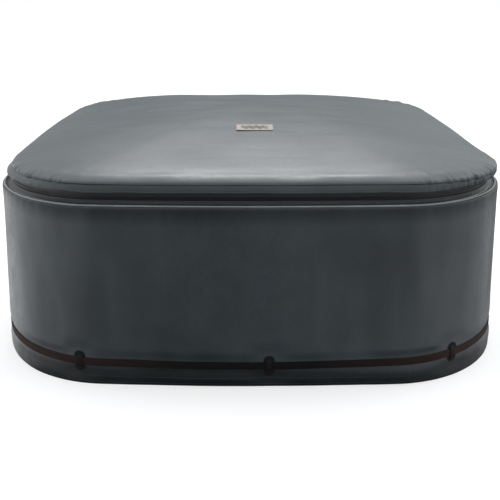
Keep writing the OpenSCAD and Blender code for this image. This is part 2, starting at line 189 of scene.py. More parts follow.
def solid(name, outer, inner, closed, uv, material, keep=None, tip=False, wrap=ROUND):
    """A closed sheet between two grids of points; uv is a grid of (u, v) in metres.

    closed joins the last column to the first, and wrap is what u gains there. keep says which cells
    are filled. tip closes the last row to a point."""
    nu, nv = outer.shape[:2]
    cu, cv = (nu if closed else nu - 1), nv - 1
    keep = np.ones((cu, cv), bool) if keep is None else keep
    idx = np.arange(nu * nv).reshape(nu, nv)
    nxt = (np.arange(cu) + 1) % nu
    a, b, c, d = idx[:cu, :-1], idx[nxt, :-1], idx[nxt, 1:], idx[:cu, 1:]
    low = keep & np.concatenate([np.ones((cu, 1), bool), ~keep[:, :-1]], 1)
    high = keep & np.concatenate([~keep[:, 1:], np.full((cu, 1), not tip)], 1)
    if closed:
        after, before = ~np.roll(keep, -1, 0), ~np.roll(keep, 1, 0)
    else:
        edge = np.ones((1, cv), bool)
        after = np.concatenate([~keep[1:], edge], 0)
        before = np.concatenate([edge, ~keep[:-1]], 0)
    right, left = keep & after, keep & before
    m = nu * nv

    def pick(mask, *corners):
        return np.stack([corner[mask] for corner in corners], -1)

    quads = np.concatenate([
        pick(keep, a, b, c, d), pick(keep, a, d, c, b) + m,
        pick(low, b, a, a + m, b + m), pick(high, d, c, c + m, d + m),
        pick(right, c, b, b + m, c + m), pick(left, a, d, d + m, a + m)])
    points = np.concatenate([outer.reshape(-1, 3), inner.reshape(-1, 3)])
    flat = np.concatenate([uv.reshape(-1, 2), uv.reshape(-1, 2)])
    loops = flat[quads.ravel()].reshape(-1, 4, 2)
    if closed and wrap:
        over_join(loops[..., 0], wrap)
    faces, loops = quads.tolist(), loops.reshape(-1, 2)
    used = quads.ravel()
    if tip:
        ends = idx[:, -1]
        mid_out, mid_in = outer[:, -1].mean(0), inner[:, -1].mean(0)
        points = np.concatenate([points, [mid_out, mid_in]])
        tris = [[int(ends[i]), int(ends[(i + 1) % nu]), 2 * m] for i in range(nu)]
        tris += [[int(ends[(i + 1) % nu]) + m, int(ends[i]) + m, 2 * m + 1] for i in range(nu)]
        faces += tris
        flat = np.concatenate([flat, [uv[:, -1].mean(0), uv[:, -1].mean(0)]])
        loops = np.concatenate([loops, flat[np.array(tris).ravel()]])
        used = np.append(used, np.array(tris).ravel())
    used = np.unique(used)
    remap = np.full(len(points), -1)
    remap[used] = np.arange(len(used))
    faces = [[int(remap[i]) for i in f] for f in faces]
    return build(name, points[used], faces, loops, material)


def along(p):
    """Distance along the second axis of a grid of points."""
    step = np.linalg.norm(np.diff(p, axis=1), axis=-1)
    return np.concatenate([np.zeros((p.shape[0], 1)), np.cumsum(step, 1)], 1)


def rows(points, step):
    """Points along a line of profile points, no further apart than step."""
    points = np.asarray(points, float)
    out = []
    for p, q in zip(points[:-1], points[1:]):
        n = max(1, int(math.ceil(np.linalg.norm((q - p)[:2]) / step)))
        out += [p + (q - p) * i / n for i in range(n)]
    return np.array(out + [points[-1]])


def rounded_line(points, r, n=5):
    """The same line with each inner corner rounded."""
    pts = [np.asarray(p, float) for p in points]
    out = [pts[0]]
    for a, b, c in zip(pts[:-2], pts[1:-1], pts[2:]):
        la, lc = np.linalg.norm(a - b), np.linalg.norm(c - b)
        t = min(r, la * 0.45, lc * 0.45)
        p, q = b + (a - b) / la * t, b + (c - b) / lc * t
        out += [(1 - u) ** 2 * p + 2 * u * (1 - u) * b + u * u * q for u in np.linspace(0, 1, n)]
    return np.array(out + [pts[-1]])


# ---- Materials
def feed(tree, socket, value):
    """Give a socket a number, a colour or what another socket carries."""
    if isinstance(value, bpy.types.NodeSocket):
        tree.links.new(value, socket)
    elif socket.type == "RGBA":
        socket.default_value = (*value, 1.0)
    else:
        socket.default_value = value


def add_node(tree, kind, inputs, **settings):
    """A new node with its settings, and its inputs fed by name or place."""
    node = tree.nodes.new("ShaderNode" + kind)
    for name, value in settings.items():
        setattr(node, name, value)
    for name, value in inputs.items():
        feed(tree, node.inputs[name], value)
    return node


def new_tree(name):
    """A new material and its empty tree."""
    mat = bpy.data.materials.new(name)
    mat.use_nodes = True
    mat.node_tree.nodes.clear()
    return mat, mat.node_tree


def surface(tree, relief, depth, inputs):
    """The material's shader, with its relief, in metres when depth is 1."""
    bump = add_node(tree, "Bump", {"Height": relief, "Distance": depth, "Strength": 1.0}).outputs[0]
    shader = add_node(tree, "BsdfPrincipled", {**inputs, "Normal": bump})
    add_node(tree, "OutputMaterial", {"Surface": shader.outputs[0]})


def math_node(tree, op, *values):
    return add_node(tree, "Math", dict(enumerate(values)), operation=op).outputs[0]


def noise_node(tree, point, scale, detail=3.0, rough=0.55, stretch=None):
    if stretch is not None:
        point = add_node(tree, "Mapping", {"Vector": point, "Scale": stretch}).outputs[0]
    inputs = {"Vector": point, "Scale": scale, "Detail": detail, "Roughness": rough}
    return add_node(tree, "TexNoise", inputs).outputs["Fac"]


def remap(tree, value, a, b, c, d):
    """value brought from the range a to b into the range c to d."""
    inputs = {"Value": value, "From Min": a, "From Max": b, "To Min": c, "To Max": d}
    return add_node(tree, "MapRange", inputs).outputs["Result"]


def mix_colour(tree, share, a, b):
    return add_node(tree, "Mix", {0: share, 6: a, 7: b}, data_type="RGBA").outputs[2]


def uv_metres(tree):
    """The two values of the piece's own map, in metres."""
    uv = add_node(tree, "UVMap", {}, uv_map="UVMap").outputs[0]
    split = add_node(tree, "SeparateXYZ", {0: uv})
    return split.outputs[0], split.outputs[1]


def object_point(tree):
    return add_node(tree, "TexCoord", {}).outputs["Object"]


def wave_node(tree, value, length):
    """A sine of value with this wavelength."""
    return math_node(tree, "SINE", math_node(tree, "MULTIPLY", value, 2 * math.pi / length))


def cell_node(tree, point, scale, feature="F1"):
    cells = add_node(tree, "TexVoronoi", {"Vector": point, "Scale": scale}, feature=feature)
    return cells.outputs["Distance"]


STITCH_GROOVE, STITCH_THREAD, STITCH_PITCH, STITCH_SHARE = 0.0014, 0.00055, 0.0042, 0.72
# Heights over which the skirt's painted shade sets in: at its foot, and right under its rim.
FOOT_SHADE_LINE = (0.085, 0.125)
UNDER_RIM = (0.655, 0.712)


def cloth(name, colour, light, rough=(0.36, 0.46), yarn=0.0011, weave=0.5, crease=0.00025, crease_scale=26.0,
          foot_shade=1.0, streak=(1.0, 1.0, 1.0), shine=0.5, stitches=(), thread=(0.10, 0.11, 0.115)):
    """Woven laminated cloth. UV is in metres. stitches: rows at these distances from the lower edge.

    The shade factor is below 1 for the skirt only: painted shade makes it darker and duller at its foot and
    right under the rim."""
    mat, tree = new_tree(name)

    def calc(op, *values):
        return math_node(tree, op, *values)

    u, v = uv_metres(tree)
    point = object_point(tree)
    over = calc("MULTIPLY", wave_node(tree, u, 2 * yarn), wave_node(tree, v, 2 * yarn))
    threads = calc("MULTIPLY_ADD", over, 0.5, 0.5)
    broad = noise_node(tree, point, 2.3, 3.0, 0.5)
    fine = noise_node(tree, point, 55.0, 4.0, 0.6)
    creases = noise_node(tree, point, crease_scale, 4.0, 0.62, (1.0, 1.0, 0.55))
    base = mix_colour(tree, remap(tree, broad, 0.3, 0.7, 0.0, 1.0), colour, light)
    speck = remap(tree, calc("MULTIPLY", threads, fine), 0.1, 0.6, 0.86, 1.08)
    # Painted shade on the skirt: its colour and shine fall right under the rim, and at its foot below about
    # 0.1 m, with a ragged edge.
    if foot_shade < 1:
        height = add_node(tree, "SeparateXYZ", {0: point}).outputs[2]
        ragged = calc("MULTIPLY_ADD", broad, 0.05, height)
        rim_shade = remap(tree, height, *UNDER_RIM, 1.0, 0.55)
        speck = calc("MULTIPLY", speck, rim_shade)
        speck = calc("MULTIPLY", speck, remap(tree, ragged, *FOOT_SHADE_LINE, foot_shade, 1.0))
        shine = calc("MULTIPLY", rim_shade, remap(tree, ragged, *FOOT_SHADE_LINE, 0.22, 0.5))
    final = add_node(tree, "VectorMath", {0: base, "Scale": speck}, operation="SCALE").outputs[0]
    relief = calc("MULTIPLY_ADD", threads, 0.00012 * weave, calc("MULTIPLY", creases, crease))
    relief = calc("ADD", relief, calc("MULTIPLY", fine, crease * 0.18))
    for row in stitches:
        gap = calc("ABSOLUTE", calc("SUBTRACT", v, row))
        groove = calc("LESS_THAN", gap, STITCH_GROOVE)
        dash = calc("LESS_THAN", calc("FRACT", calc("DIVIDE", u, STITCH_PITCH)), STITCH_SHARE)
        mark = calc("MULTIPLY", calc("LESS_THAN", gap, STITCH_THREAD), dash)
        final = mix_colour(tree, mark, final, thread)
        relief = calc("SUBTRACT", relief, calc("MULTIPLY", groove, 0.00025))
        relief = calc("MULTIPLY_ADD", mark, 0.0004, relief)
    smear = noise_node(tree, point, 4.5, 3.0, 0.55, streak)
    cloud = calc("MULTIPLY_ADD", fine, 0.35, calc("MULTIPLY", smear, 0.65))
    surface(tree, relief, 1.0, {"Base Color": final, "Specular IOR Level": shine,
                                "Roughness": remap(tree, cloud, 0.36, 0.64, *rough)})
    return mat


def webbing(name, colour, light, front_shade):
    """Flat woven webbing: slanting ribs in two halves, and painted shade that darkens its front."""
    mat, tree = new_tree(name)

    def calc(op, *values):
        return math_node(tree, op, *values)

    u, v = uv_metres(tree)
    point = object_point(tree)
    slant = calc("ADD", calc("PINGPONG", v, 0.004), u)
    rib = calc("MULTIPLY_ADD", wave_node(tree, slant, 0.0022), 0.5, 0.5)
    warp = calc("MULTIPLY_ADD", wave_node(tree, v, 0.0016), 0.5, 0.5)
    fuzz = noise_node(tree, point, 220.0, 3.0)
    worn = remap(tree, noise_node(tree, point, 9.0, 4.0), 0.3, 0.7, 0.5, 1.0)
    woven = mix_colour(tree, calc("MULTIPLY", calc("MULTIPLY", rib, worn), 0.9), colour, light)
    # Painted shade: near black where the map's first value is near 0, which is the belt's front.
    in_front = remap(tree, calc("ABSOLUTE", u), 0.25, 0.80, 1.0, 0.0)
    relief = calc("MULTIPLY_ADD", warp, 0.0001, calc("MULTIPLY", fuzz, 0.00008))
    surface(tree, calc("MULTIPLY_ADD", rib, 0.00022, relief), 1.0,
            {"Base Color": mix_colour(tree, in_front, woven, front_shade), "Specular IOR Level": 0.15,
             "Roughness": remap(tree, fuzz, 0.2, 0.8, 0.62, 0.82)})
    return mat


def plain(name, colour, light, rough, grain, depth, metallic=0.0):
    """Moulded plastic, plated metal and the like: tone, roughness and relief from grain."""
    mat, tree = new_tree(name)
    point = object_point(tree)
    fine = noise_node(tree, point, grain, 4.0, 0.6)
    broad = noise_node(tree, point, grain / 14, 3.0, 0.5)
    both = math_node(tree, "MULTIPLY_ADD", fine, 0.4, math_node(tree, "MULTIPLY", broad, 0.6))
    tone = remap(tree, both, 0.35, 0.65, 0, 1)
    surface(tree, fine, depth, {"Base Color": mix_colour(tree, tone, colour, light), "Metallic": metallic,
                                "Roughness": remap(tree, fine, 0.3, 0.7, *rough)})
    return mat


def cell_foam(name):
    """Pale foam with small closed cells."""
    mat, tree = new_tree(name)
    point = object_point(tree)
    broad = noise_node(tree, point, 7.0, 3.0)
    colour = mix_colour(tree, remap(tree, broad, 0.3, 0.7, 0, 1), (0.70, 0.70, 0.66), (0.80, 0.80, 0.77))
    surface(tree, cell_node(tree, point, 620.0), 0.0004,
            {"Base Color": colour, "Roughness": remap(tree, broad, 0.3, 0.7, 0.75, 0.9)})
    return mat


def foil(name):
    """Reflective laminated film with a crinkle and a quilted bond pattern."""
    mat, tree = new_tree(name)

    def calc(op, *values):
        return math_node(tree, op, *values)

    u, v = uv_metres(tree)
    point = object_point(tree)
    cells = cell_node(tree, point, 48.0, "SMOOTH_F1")
    crinkle = noise_node(tree, point, 70.0, 5.0, 0.65)
    one_way = calc("ABSOLUTE", wave_node(tree, calc("ADD", u, v), 0.06))
    other_way = calc("ABSOLUTE", wave_node(tree, calc("SUBTRACT", u, v), 0.06))
    quilt = calc("POWER", calc("MINIMUM", one_way, other_way), 0.4)
    relief = calc("MULTIPLY_ADD", crinkle, 0.0012, calc("MULTIPLY", cells, 0.0009))
    tone = remap(tree, crinkle, 0.3, 0.7, 0, 1)
    surface(tree, calc("MULTIPLY_ADD", quilt, 0.0006, relief), 1.0,
            {"Base Color": mix_colour(tree, tone, (0.50, 0.52, 0.54), (0.68, 0.70, 0.72)), "Metallic": 0.75,
             "Roughness": remap(tree, crinkle, 0.3, 0.7, 0.28, 0.42)})
    return mat


SLATE, SLATE_LIGHT = (0.034, 0.044, 0.050), (0.044, 0.056, 0.062)
CHAR, CHAR_LIGHT = (0.020, 0.025, 0.028), (0.029, 0.034, 0.038)
# The skirt's cloth takes painted shade at its foot and right under its rim.
m_skirt = cloth("skirt_cloth", tuple(0.79 * c for c in SLATE), tuple(1.08 * c for c in SLATE_LIGHT),
                rough=(0.30, 0.50), crease=0.0004, stitches=(0.012, 0.037), thread=(0.05, 0.06, 0.066),
                foot_shade=0.35, streak=(1.6, 1.6, 0.7))
m_lid = cloth("lid_cloth", SLATE, SLATE_LIGHT, rough=(0.34, 0.50), streak=(0.7, 3.4, 1.0))
m_band = cloth("lid_band_cloth", CHAR, CHAR_LIGHT, rough=(0.48, 0.6), stitches=(0.010,), crease=0.0005,
               crease_scale=60.0)
m_neck = cloth("neck_cloth", CHAR, CHAR_LIGHT, rough=(0.48, 0.6), stitches=(0.0085, 0.0125), crease=0.0004,
               crease_scale=60.0, thread=(0.14, 0.15, 0.155))
m_flap = cloth("flap_cloth", SLATE, SLATE_LIGHT, rough=(0.42, 0.52), shine=0.4, stitches=(0.004,),
               crease=0.0005, crease_scale=45.0)
m_trim = cloth("trim_cloth", CHAR, CHAR_LIGHT, rough=(0.55, 0.7), yarn=0.0014, stitches=(0.002,),
               crease=0.0002)
m_window = cloth("window_flap_cloth", SLATE, SLATE_LIGHT, rough=(0.42, 0.52), stitches=(0.006, 0.012, 0.268),
                 crease=0.0005, crease_scale=32.0)
# The welt's pale grey is painted highlight: the light from above that the cord catches.
m_welt = cloth("welt_painted_highlight_cloth", (0.17, 0.183, 0.185), (0.22, 0.233, 0.233), rough=(0.36, 0.48), yarn=0.0010,
               crease=0.0003, crease_scale=120.0)
m_tape = cloth("zip_tape_cloth", (0.012, 0.013, 0.015), (0.018, 0.02, 0.022), rough=(0.6, 0.75), yarn=0.0009,
               weave=0.9)
m_loop = cloth("loop_cloth", (0.0065, 0.0065, 0.007), (0.011, 0.011, 0.0115), rough=(0.55, 0.7), yarn=0.0016,
               weave=1.0, shine=0.15, crease=0.0003, crease_scale=90.0)
m_foil = foil("foil_lining")
m_foam = cell_foam("closed_cell_foam")
# Its last colour is the painted shade along the belt's front.
m_web = webbing("belt_webbing_weave", (0.016, 0.0085, 0.006), (0.052, 0.029, 0.021), (0.0045, 0.0040, 0.0040))
m_hook = plain("hook_tape_loops", (0.010, 0.011, 0.013), (0.022, 0.024, 0.026), (0.8, 0.95), 900.0, 0.0012)
m_teeth = plain("zip_teeth_plastic", (0.008, 0.008, 0.009), (0.014, 0.015, 0.016), (0.28, 0.4), 700.0,
                0.00005)
m_metal = plain("zip_metal", (0.30, 0.30, 0.31), (0.40, 0.40, 0.41), (0.24, 0.38), 480.0, 0.00006, 1.0)
m_buckle = plain("buckle_plastic", (0.010, 0.0105, 0.011), (0.016, 0.017, 0.018), (0.38, 0.52), 1300.0,
                 0.00012)
m_badge = plain("badge_soft_plastic", (0.21, 0.185, 0.165), (0.26, 0.235, 0.21), (0.55, 0.7), 500.0, 0.0001)
m_mark = plain("badge_mark", (0.012, 0.011, 0.010), (0.02, 0.018, 0.017), (0.6, 0.75), 500.0, 0.0001)

# ---- The belt's line, and how the cloth departs from its pattern
SKIN, FOAM, LINER, GAP = 0.0008, 0.005, 0.0004, 0.0002
BELT_Z, BELT_W, BELT_T, BELT_GAP = 0.097, 0.032, 0.0014, 0.0016
BELT_OFF = float(wall_off(BELT_Z))
BELT_SIDE = (SIDE_R + BELT_OFF) * BOW
BELT_CORNER = (CORNER_R + BELT_OFF) * (math.pi / 2 - 2 * BOW)
BELT_QUARTER = 2 * BELT_SIDE + BELT_CORNER
LOOP_COUNT, FIRST_LOOP = 10, 0.075
LOOP_NUDGE = {1: -0.022, 9: 0.022}


def belt_to_s(run):
    """Distance along the outline for a distance along the belt's line."""
    q = math.floor(run / BELT_QUARTER)
    u = run - q * BELT_QUARTER
    if u < BELT_SIDE:
        t = u / (SIDE_R + BELT_OFF) * SIDE_R
    elif u < BELT_SIDE + BELT_CORNER:
        t = HALF_SIDE + (u - BELT_SIDE) / (CORNER_R + BELT_OFF) * CORNER_R
    else:
        t = QUARTER - (BELT_QUARTER - u) / (SIDE_R + BELT_OFF) * SIDE_R
    return q * QUARTER + t


LOOPS = [belt_to_s(FIRST_LOOP + i * 4 * BELT_QUARTER / LOOP_COUNT + LOOP_NUDGE.get(i, 0.0))
         for i in range(LOOP_COUNT)]
WINDOW_S, WINDOW_W, WINDOW_H, WINDOW_Z = 2 * QUARTER - SIDE_R * BOW / 2, 0.42, 0.22, 0.265
WINDOW_LOW, WINDOW_HIGH = WINDOW_Z - WINDOW_H / 2, WINDOW_Z + WINDOW_H / 2
BUCKLE_S = 2 * QUARTER + SIDE_R * BOW * 0.75

wide = ripple(11, 22, (3, 17), (0.5, 5.0), 0.6)
upright = ripple(12, 40, (22, 70), (0.5, 7.0), 0.4)
short = ripple(13, 60, (60, 170), (2.0, 16.0), 0.3)
tiny = ripple(14, 60, (150, 320), (4.0, 40.0), 0.2)
loose = ripple(15, 24, (4, 26), (0.0, 0.1), 0.5)
pleat_a = ripple(31, 10, (4, 30), (0.0, 0.1), 0.5)
pleat_b = ripple(32, 30, (20, 110), (0.0, 4.0), 0.2)
pleat_len = ripple(33, 30, (15, 90), (0.0, 0.1), 0.2)


def belt_dip(s):
    """The belt has slipped down a little in front and ridden up at the front corners."""
    return -0.010 * near(s, 0.0, 0.50) + 0.012 * near(s, 1.08, 0.42) + 0.008 * near(s, -1.25, 0.35)


def outside(across, across_range, up, up_range):
    """0 within both ranges, 1 beyond either."""
    return 1 - (1 - smooth(across, *across_range)) * (1 - smooth(up, *up_range))


def quiet(s, z):
    """0 where something lies flat on the skirt, 1 elsewhere."""
    s, z = np.broadcast_arrays(np.asarray(s, float), np.asarray(z, float))
    from_belt = np.abs(z - belt_dip(s) - BELT_Z)
    out = smooth(from_belt, 0.018, 0.055)
    for loop in LOOPS:
        out = out * outside(away(s, loop), (0.024, 0.11), from_belt, (0.044, 0.115))
    out = out * outside(np.abs(s - WINDOW_S), (0.25, 0.30), np.abs(z - WINDOW_Z + 0.008), (0.165, 0.21))
    for side in (QUARTER, 3 * QUARTER):
        out = out * smooth(np.abs(s - side), 0.015, 0.05)
    return out * outside(np.abs(s - BUCKLE_S + 0.07), (0.16, 0.22), from_belt, (0.03, 0.06))


def skirt_rise(s, z):
    """How far the skirt's cloth stands out from its pattern, never inwards."""
    s, z = np.broadcast_arrays(np.asarray(s, float), np.asarray(z, float))
    # Slack of the wall, less of it at the front left corner's top.
    body = (0.0030 * (1 + wide(s, z)) + 0.0011 * (1 + upright(s, z))) * (1 - smooth(z, 0.714, 0.7240))
    body = body * (1 - 0.75 * near(s, -HALF_SIDE - CORNER_RUN * 0.85, 0.40) * smooth(z, 0.35, 0.65))
    # The belt draws the cloth in: it swells below and above, puckers, and crumples beside a loop.
    h = z - belt_dip(s)
    tucked = 0.0036 * (1 - smooth(away(s, 0.0), 0.45, 0.95))
    under = smooth(h, -0.010, 0.072) * (1 - smooth(h, 0.072, 0.086)) * (0.0030 + 0.0010 * loose(s) + tucked)
    over = hump(h, 0.150, 0.040) * (0.0010 + 0.0010 * smooth(loose(s + 1.7), -0.2, 1.0))
    beside = hump(h, 0.060, 0.022) + 0.6 * hump(h, 0.135, 0.028)
    pucker = beside * 0.0016 * np.abs(short(s + 0.3 * h, h)) * smooth(loose(s + 3.1), -0.3, 1.0)
    x = s / 0.021 + 3.0 * (h - 0.05) + 0.5 * upright(s)
    crumple = near(s, 0.60, 0.085) * hump(h, 0.058, 0.030) * 0.0060 * np.sin(math.pi * x) ** 2
    # The rim seam gathers the cloth, and the shoulder is fuller than its pattern.
    gather = smooth(h, 0.66, 0.70) * (1 - smooth(h, 0.712, 0.722)) * 0.0006 * (1 + short(s, h))
    turned = np.clip((z - SHOULDER_Z) / (RIM_Z - SHOULDER_Z), 0, 1)
    full = RIM_INSET * (1 - np.sqrt(1 - turned ** 2)) * (1 - smooth(z, 0.7165, 0.7246))
    slack = (body + under + over + pucker + crumple + gather) * quiet(s, z)
    return np.maximum(slack, 0) * smooth(z, -0.01, 0.012) + full


def lid_shift(s, z):
    """The lid is drawn in at its sides and rear and the front left corner, and bulges at the front right."""
    right = near(s, HALF_SIDE + CORNER_RUN * 0.66, 0.26)
    left = near(s, -HALF_SIDE - CORNER_RUN * 0.80, 0.36)
    drawn = smooth(away(s, 0.0), HALF_SIDE + 0.15, QUARTER - 0.25)
    return (0.024 * right - 0.012 * left - 0.018 * drawn + 0.0015 * wide(s + 2.0)) * smooth(z, 0.765, 0.806)


# ---- Skirt
def skirt_line(row_step):
    """Profile of the skirt from the hem up, (distance out, height), with the turn over the shoulder."""
    z_low = np.linspace(0.0, SHOULDER_Z, int(SHOULDER_Z / row_step) + 2)[:-1]
    for mark in (WINDOW_LOW, WINDOW_HIGH):
        z_low[np.argmin(np.abs(z_low - mark))] = mark
    a = np.radians(np.linspace(0, 90, 15))
    return np.concatenate([
        np.stack([wall_off(z_low), z_low], -1),
        np.stack([-RIM_INSET * (1 - np.cos(a)), SHOULDER_Z + (RIM_Z - SHOULDER_Z) * np.sin(a)], -1)])


def outside_window(across, z):
    """Which cells of a grid lie outside the hose window; across is measured from its middle."""
    mid_across, mid_z = (across[:-1] + across[1:]) / 2, (z[:-1] + z[1:]) / 2
    inside_x = np.abs(mid_across) < WINDOW_W / 2
    inside_z = np.abs(mid_z - WINDOW_Z) < WINDOW_H / 2
    return ~(inside_x[:, None] & inside_z[None, :])


def skirt_layer(name, start, end, depth, thick, material, side_step, corner_step, row_step, skin=False):
    """One layer of the skirt between two places, depth inside its pattern. The skin has the slack."""
    s = stations(side_step, corner_step, [WINDOW_S - WINDOW_W / 2, WINDOW_S + WINDOW_W / 2], start, end)
    line = skirt_line(row_step)
    S, Z = np.meshgrid(s, line[:, 1], indexing="ij")
    p = place(S, line[None, :, 0], Z)
    n = flow(p, False)
    lift = (skirt_rise(S, Z) if skin else np.zeros(S.shape)) - depth
    uv = np.stack([S, along(p)], -1)
    keep = outside_window(s - WINDOW_S, line[:, 1]) if start < WINDOW_S < end else None
    return solid(name, p + n * lift[..., None], p + n * (lift - thick)[..., None], False, uv, material, keep)


def fit(obj, body, nodes):
    """Hang a piece on its body and hide the CAD parts that it stands for."""
    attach(obj, body)
    if nodes:
        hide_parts(*nodes)
    return obj


HALF = ROUND / 2
SKIRT_H = 0.745
WINDOW_AREA = WINDOW_W * WINDOW_H
HALVES = (("front", -QUARTER, QUARTER, None), ("rear", QUARTER, 3 * QUARTER, HALF * SKIRT_H - WINDOW_AREA))
FOAM_IN = SKIN + GAP
LINER_IN = FOAM_IN + FOAM + GAP
for half, start, end, area in HALVES:
    piece = skirt_layer("skirt_%s_cloth" % half, start, end, 0.0, SKIN, m_skirt, 0.014, 0.010, 0.0125, True)
    fit(piece, "skirt", ["skirt_" + half])
for half, start, end, area in HALVES:
    piece = skirt_layer("skirt_%s_foam" % half, start, end, FOAM_IN, FOAM, m_foam, 0.05, 0.03, 0.05)
    fit(piece, "skirt", ["skirt_foam_" + half])
for half, start, end, area in HALVES:
    piece = skirt_layer("skirt_%s_lining" % half, start, end, LINER_IN, LINER, m_foil, 0.04, 0.025, 0.04)
    fit(piece, "skirt", ["skirt_liner_" + half])


def ring(name, line, thick, material, closed=True, start=0.0, end=ROUND, side_step=0.02, corner_step=0.012,
         lift=None, shift=None):
    """A strip that follows the outline: line is its outer profile, (distance out, height)."""
    s = stations(side_step, corner_step, (), start, end)
    if closed:
        s = s[:-1]
    line = np.asarray(line, float)
    S, Z = np.meshgrid(s, line[:, 1], indexing="ij")
    OFF = np.broadcast_to(line[None, :, 0], S.shape)
    if shift is not None:
        OFF, Z = shift(S, OFF, Z)
    p = place(S, OFF, Z)
    n = flow(p, closed)
    up = 0.0 if lift is None else lift(S, Z)[..., None]
    uv = np.stack([S, along(p)], -1)
    return solid(name, p + n * up, p + n * (up - thick), closed, uv, material)


FACING_IN, FACING_H = 0.0072, 0.040
facing_line = rows([(wall_off(z) - FACING_IN, z) for z in (0.0, FACING_H)], 0.02)
piece = ring("hem_facing_cloth", facing_line, SKIN, m_trim, side_step=0.05, corner_step=0.03)
fit(piece, "skirt", ["hem_facing"])

# Side seams: a flat felled tape over the join.
SEAM_TAPE = 0.014
for side_name, side, nodes in (("right", QUARTER, ["side_seam_tapes"]), ("left", 3 * QUARTER, [])):
    S, Z = np.meshgrid(np.linspace(side - SEAM_TAPE, side + SEAM_TAPE, 7), np.linspace(0.004, SHOULDER_Z, 60),
                       indexing="ij")
    p = place(S, wall_off(Z), Z)
    n = flow(p, False)
    crown = 0.0004 * (1 - ((S - side) / SEAM_TAPE) ** 2) + 0.0003 * (1 + tiny(Z * 3.0, Z))
    uv = np.stack([Z, S - side + SEAM_TAPE], -1)
    piece = solid("side_seam_tape_" + side_name, p + n * (0.0010 + crown)[..., None], p + n * 0.0003, False,
                  uv, m_trim)
    fit(piece, "skirt", nodes)

# Rim welt: a cloth-covered cord.
WELT_R, WELT_SIDES = 0.0042, 14
s = stations(0.016, 0.009)[:-1]
S = np.broadcast_to(s[:, None], (len(s), WELT_SIDES))
turn = np.linspace(0, 2 * math.pi, WELT_SIDES + 1)[:-1]
r = WELT_R * (1 + 0.05 * tiny(S, 0.0))
OFF = -0.0118 + 0.0004 * upright(S) + r * np.sin(turn)
Z = 0.7262 + 0.0005 * short(S) - r * np.cos(turn)
p = place(S, OFF, Z)
idx = np.arange(S.size).reshape(S.shape)
after = np.roll(idx, -1, 0)
quads = np.stack([idx, after, np.roll(after, -1, 1), np.roll(idx, -1, 1)], -1).reshape(-1, 4)
uv = np.stack([S, np.broadcast_to(turn * WELT_R, S.shape)], -1).reshape(-1, 2)
loops = uv[quads.ravel()].reshape(-1, 4, 2)
for axis, full in ((0, ROUND), (1, 2 * math.pi * WELT_R)):
    over_join(loops[..., axis], full)
piece = build("rim_welt_cord", p.reshape(-1, 3), quads.tolist(), loops.reshape(-1, 2), m_welt, 80)
fit(piece, "skirt", ["rim_welt"])

# ---- Zip and the neck of cloth that it is sewn to
ZIP_OFF, TOOTH, HALF_GAP, TOOTH_H, TAPE_T, ZIP_Z = -0.0412, 0.0026, 0.0008, 0.0056, 0.0008, 0.748
TAPE_OUT = ZIP_OFF - TOOTH / 2 - 0.0001
ZIP_END = QUARTER * 2 - HALF_SIDE - CORNER_RUN / 9
NECK_FOOT = (-0.0285, RIM_Z + 0.0012)
ZIP_RUN = (False, -ZIP_END, ZIP_END)


def neck_lift(s, z):
    return 0.0008 * (1 + short(s, z)) * (1 - smooth(z, 0.734, 0.740)) * smooth(z, 0.726, 0.729)


def band_lift(s, z):
    return 0.0006 * (1 + short(s, z)) * smooth(z, 0.765, 0.775) * (1 - smooth(z, 0.795, 0.805))


def lid_follow(s, off, z):
    return off + lid_shift(s, z), z


neck_line = rounded_line([NECK_FOOT, (-0.037, RIM_Z + 0.0062), (TAPE_OUT, ZIP_Z - 0.010),
                          (TAPE_OUT, ZIP_Z - HALF_GAP)], 0.003, 4)
piece = ring("zip_tape_lower", neck_line, TAPE_T, m_neck, *ZIP_RUN, 0.016, 0.010, neck_lift)
fit(piece, "skirt", ["zip_lower_tape"])
band_line = rounded_line([(ZIP_OFF - 0.0013, 0.762), (ZIP_OFF + 0.0003, 0.780), (-0.0365, 0.795),
                          (-0.0318, 0.8055)], 0.004, 4)
piece = ring("lid_band_cloth", band_line, SKIN, m_band, True, 0, ROUND, 0.016, 0.010, band_lift, lid_follow)
fit(piece, "lid", ["lid_band"])
behind_band = ZIP_OFF - 0.0013 - SKIN - 0.0001
upper_line = rounded_line([(TAPE_OUT, ZIP_Z + HALF_GAP), (TAPE_OUT, ZIP_Z + 0.009), (behind_band, 0.761),
                           (behind_band, 0.768)], 0.002, 3)
piece = ring("zip_tape_upper", upper_line, TAPE_T, m_tape, *ZIP_RUN, 0.03, 0.014)
fit(piece, "lid", ["zip_upper_tape"])


def teeth(name, low, high, half, toward):
    """One row of moulded teeth along the zip, each with a wider head towards the other row."""
    pitch = 0.0032
    count = int(2 * ZIP_END / pitch)
    s0 = -ZIP_END + (np.arange(count) + 0.5 + half) * pitch
    depth = TOOTH / 2
    tip, root = (high, low) if toward > 0 else (low, high)
    # Height, half width and half depth of the four levels of a tooth, from its root to its tip.
    levels = ((root, 0.0010, 0.8 * depth), (tip - toward * 0.0016, 0.0008, 0.9 * depth),
              (tip - toward * 0.0008, 0.00125, depth), (tip, 0.0009, 0.75 * depth))
    corners = []
    for z, w, d in levels:
        for ds, do in ((-w, -d), (w, -d), (w, d), (-w, d)):
            corners.append(place(s0 + ds, np.full(count, ZIP_OFF + do), np.full(count, z)))
    one = []
    for level in range(3):
        for side in range(4):
            a, b = level * 4 + side, level * 4 + (side + 1) % 4
            one.append([a, b, b + 4, a + 4])
    one += [[3, 2, 1, 0], [12, 13, 14, 15]]
    if toward < 0:
        one = [face[::-1] for face in one]
    faces = (np.array(one)[None] + (np.arange(count) * len(corners))[:, None, None]).reshape(-1, 4)
    return build(name, np.stack(corners, 1).reshape(-1, 3), faces.tolist(), None, m_teeth, 30)


